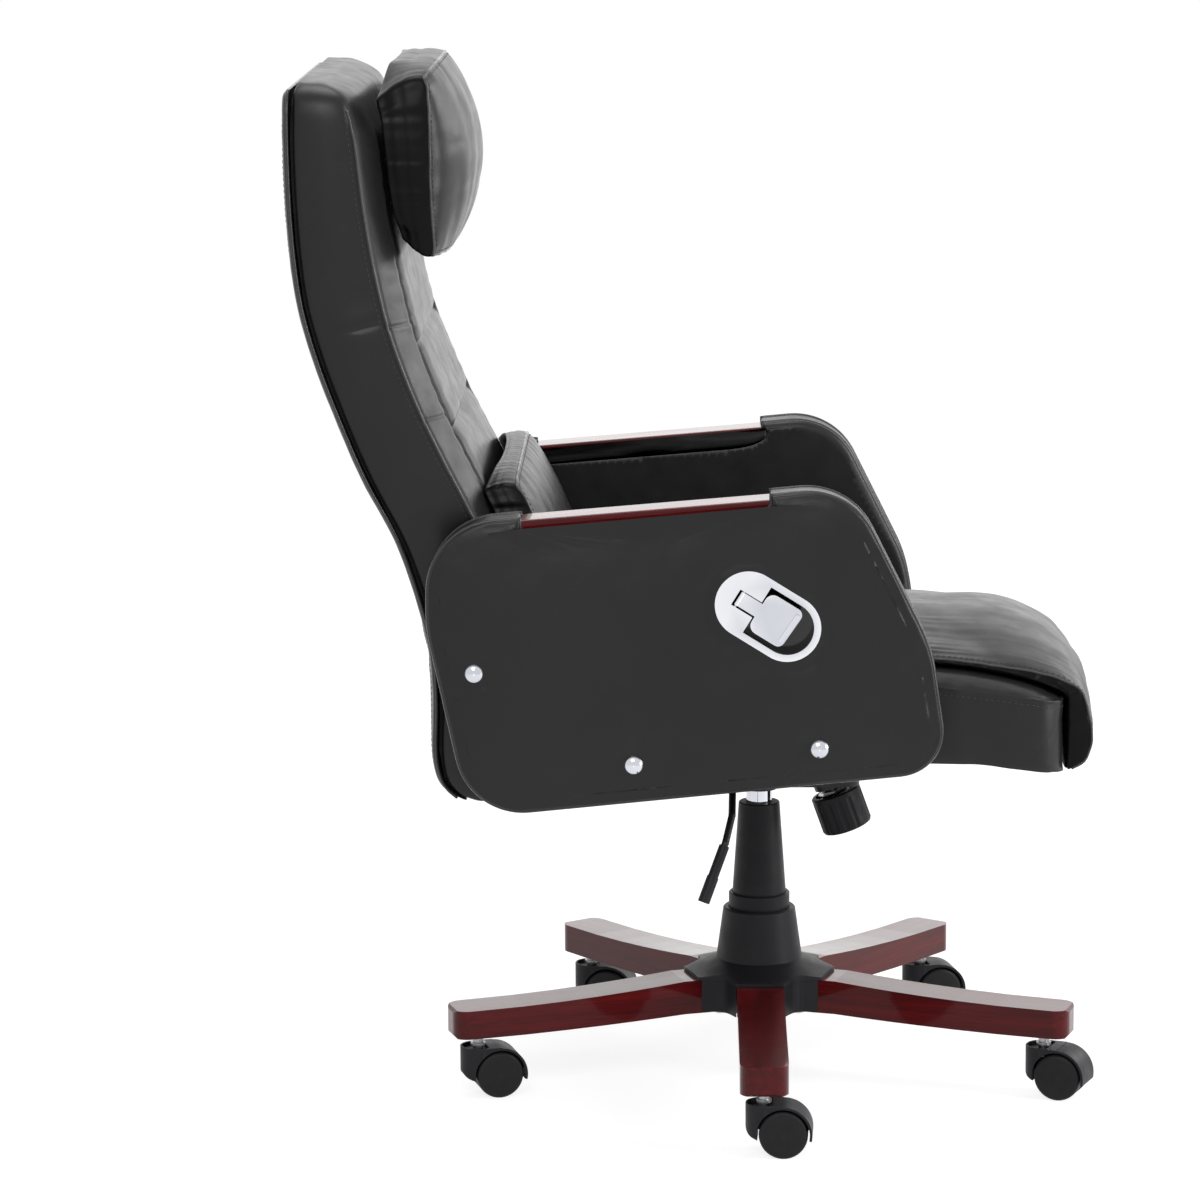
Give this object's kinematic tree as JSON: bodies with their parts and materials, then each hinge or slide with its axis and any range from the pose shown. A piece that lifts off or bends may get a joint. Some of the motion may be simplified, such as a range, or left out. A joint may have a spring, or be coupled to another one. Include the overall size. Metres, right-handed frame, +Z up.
{
  "type": "reclining office chair",
  "caption": "High-backed padded office chair with wooden arm rails, a five-leg wooden caster base, gas lift, seat tilt and a reclining backrest released by a pull in the right arm.",
  "frame": {"origin": "on the floor, on the axis of the gas lift", "axes": "+Z up, -Y forward (the way the sitter faces), -X to the sitter's right"},
  "size_m": [0.6456, 0.8351, 1.097],
  "materials": {
    "grey_leather": "satin",
    "red_wood": "gloss",
    "black_plastic": "satin",
    "black_metal": "satin",
    "chrome": "polished",
    "steel": "satin",
    "plywood": "matte"
  },
  "bodies": {
    "base": {"hub_shell": "black_plastic", "hub_socket": "steel", "leg_bolts": "steel", "caster_stems": "steel", "gas_cylinder": "black_metal", "leg_1": "red_wood", "leg_2": "red_wood", "leg_3": "red_wood", "leg_4": "red_wood", "leg_5": "red_wood"},
    "lift": {"cover_top": "black_plastic"},
    "cover_mid": {"cover_middle": "black_plastic"},
    "swivel": {"gas_tube": "chrome", "mech_housing": "black_metal", "tilt_axle": "steel", "tension_bolt": "steel", "tilt_spring": "steel", "rocker_pin": "steel"},
    "knob": {"tension_knob": "black_plastic"},
    "button": {"valve_button": "steel"},
    "rocker": {"valve_rocker": "steel"},
    "lever": {"height_lever": "black_metal", "lever_grip": "black_plastic"},
    "seat": {"seat_bracket": "black_metal", "bracket_bolts": "steel", "seat_frame": "plywood", "seat_cushion": "grey_leather", "seat_pad": "grey_leather", "arm_panel_right": "grey_leather", "arm_panel_left": "grey_leather", "arm_rail_right": "red_wood", "arm_rail_left": "red_wood", "arm_bolts": "steel", "arm_caps": "chrome", "pull_escutcheon": "chrome", "paddle_pin": "steel"},
    "paddle": {"pull_paddle": "chrome"},
    "back": {"back_brackets": "steel", "back_shell": "plywood", "back_cushion": "grey_leather", "rear_cover": "grey_leather", "head_pillow": "grey_leather", "lumbar_pillow": "grey_leather"},
    "caster_1": {"caster_hood_1": "black_plastic"},
    "wheel_1a": {"caster_wheel_1a": "black_plastic"},
    "wheel_1b": {"caster_wheel_1b": "black_plastic"},
    "caster_2": {"caster_hood_2": "black_plastic"},
    "wheel_2a": {"caster_wheel_2a": "black_plastic"},
    "wheel_2b": {"caster_wheel_2b": "black_plastic"},
    "caster_3": {"caster_hood_3": "black_plastic"},
    "wheel_3a": {"caster_wheel_3a": "black_plastic"},
    "wheel_3b": {"caster_wheel_3b": "black_plastic"},
    "caster_4": {"caster_hood_4": "black_plastic"},
    "wheel_4a": {"caster_wheel_4a": "black_plastic"},
    "wheel_4b": {"caster_wheel_4b": "black_plastic"},
    "caster_5": {"caster_hood_5": "black_plastic"},
    "wheel_5a": {"caster_wheel_5a": "black_plastic"},
    "wheel_5b": {"caster_wheel_5b": "black_plastic"}
  },
  "joints": [
    {"name": "lift_slide", "type": "slide", "parent": "base", "child": "lift", "axis": [0, 0, 1], "range_m": [0, 0.1]},
    {"name": "cover_mid_slide", "type": "slide", "parent": "base", "child": "cover_mid", "axis": [0, 0, 1], "range_m": [0, 0.05]},
    {"name": "seat_swivel", "type": "hinge", "parent": "lift", "child": "swivel", "pos_m": [0, 0, 0.312], "axis": [0, 0, 1], "continuous": true},
    {"name": "tension_knob_turn", "type": "hinge", "parent": "swivel", "child": "knob", "pos_m": [0, -0.0812, 0.3085], "axis": [0, 0.3371, 0.9415], "continuous": true},
    {"name": "valve_rocker_press", "type": "hinge", "parent": "swivel", "child": "rocker", "pos_m": [-0.036, 0.029, 0.331], "axis": [0, 1, 0], "range_deg": [0, 6], "stiffness_Nm_per_rad": 4, "springref_deg": -8.59},
    {"name": "valve_button_press", "type": "slide", "parent": "swivel", "child": "button", "axis": [0, 0, -1], "range_m": [0, 0.0042]},
    {"name": "tilt_lock_pull", "type": "slide", "parent": "rocker", "child": "lever", "axis": [-1, 0, 0], "range_m": [0, 0.015]},
    {"name": "seat_tilt", "type": "hinge", "parent": "swivel", "child": "seat", "pos_m": [0, -0.036, 0.352], "axis": [-1, 0, 0], "range_deg": [0, 12], "stiffness_Nm_per_rad": 140, "springref_deg": -25.78},
    {"name": "back_recline", "type": "hinge", "parent": "seat", "child": "back", "pos_m": [0, 0.291, 0.494], "axis": [-1, 0, 0], "range_deg": [0, 20]},
    {"name": "pull_paddle_lift", "type": "hinge", "parent": "seat", "child": "paddle", "pos_m": [-0.2923, 0.02399, 0.56949], "axis": [0, 0.5299, -0.848], "range_deg": [0, 30], "stiffness_Nm_per_rad": 0.3, "springref_deg": -17.19},
    {"name": "caster_swivel_1", "type": "hinge", "parent": "base", "child": "caster_1", "pos_m": [-0.315, 0, 0.055], "axis": [0, 0, 1], "continuous": true},
    {"name": "wheel_spin_1a", "type": "hinge", "parent": "caster_1", "child": "wheel_1a", "pos_m": [-0.31605, -0.01997, 0.025], "axis": [0.9986, -0.0523, 0], "continuous": true},
    {"name": "wheel_spin_1b", "type": "hinge", "parent": "caster_1", "child": "wheel_1b", "pos_m": [-0.31605, -0.01997, 0.025], "axis": [0.9986, -0.0523, 0], "continuous": true},
    {"name": "caster_swivel_2", "type": "hinge", "parent": "base", "child": "caster_2", "pos_m": [-0.09734, -0.29958, 0.055], "axis": [0, 0, 1], "continuous": true},
    {"name": "wheel_spin_2a", "type": "hinge", "parent": "caster_2", "child": "wheel_2a", "pos_m": [-0.10483, -0.31813, 0.025], "axis": [0.9272, -0.3746, 0], "continuous": true},
    {"name": "wheel_spin_2b", "type": "hinge", "parent": "caster_2", "child": "wheel_2b", "pos_m": [-0.10483, -0.31813, 0.025], "axis": [0.9272, -0.3746, 0], "continuous": true},
    {"name": "caster_swivel_3", "type": "hinge", "parent": "base", "child": "caster_3", "pos_m": [0.25484, -0.18515, 0.055], "axis": [0, 0, 1], "continuous": true},
    {"name": "wheel_spin_3a", "type": "hinge", "parent": "caster_3", "child": "wheel_3a", "pos_m": [0.259, -0.20472, 0.025], "axis": [0.9781, 0.2079, 0], "continuous": true},
    {"name": "wheel_spin_3b", "type": "hinge", "parent": "caster_3", "child": "wheel_3b", "pos_m": [0.259, -0.20472, 0.025], "axis": [0.9781, 0.2079, 0], "continuous": true},
    {"name": "caster_swivel_4", "type": "hinge", "parent": "base", "child": "caster_4", "pos_m": [0.25484, 0.18515, 0.055], "axis": [0, 0, 1], "continuous": true},
    {"name": "wheel_spin_4a", "type": "hinge", "parent": "caster_4", "child": "wheel_4a", "pos_m": [0.25206, 0.16535, 0.025], "axis": [0.9903, -0.1392, 0], "continuous": true},
    {"name": "wheel_spin_4b", "type": "hinge", "parent": "caster_4", "child": "wheel_4b", "pos_m": [0.25206, 0.16535, 0.025], "axis": [0.9903, -0.1392, 0], "continuous": true},
    {"name": "caster_swivel_5", "type": "hinge", "parent": "base", "child": "caster_5", "pos_m": [-0.09734, 0.29958, 0.055], "axis": [0, 0, 1], "continuous": true},
    {"name": "wheel_spin_5a", "type": "hinge", "parent": "caster_5", "child": "wheel_5a", "pos_m": [-0.09183, 0.28036, 0.025], "axis": [0.9613, 0.2756, 0], "continuous": true},
    {"name": "wheel_spin_5b", "type": "hinge", "parent": "caster_5", "child": "wheel_5b", "pos_m": [-0.09183, 0.28036, 0.025], "axis": [0.9613, 0.2756, 0], "continuous": true}
  ],
  "couplings": [
    {"joint": "cover_mid_slide", "follows": "lift_slide", "ratio": 0.5},
    {"joint": "valve_button_press", "follows": "valve_rocker_press", "m_per_rad": 0.04}
  ]
}
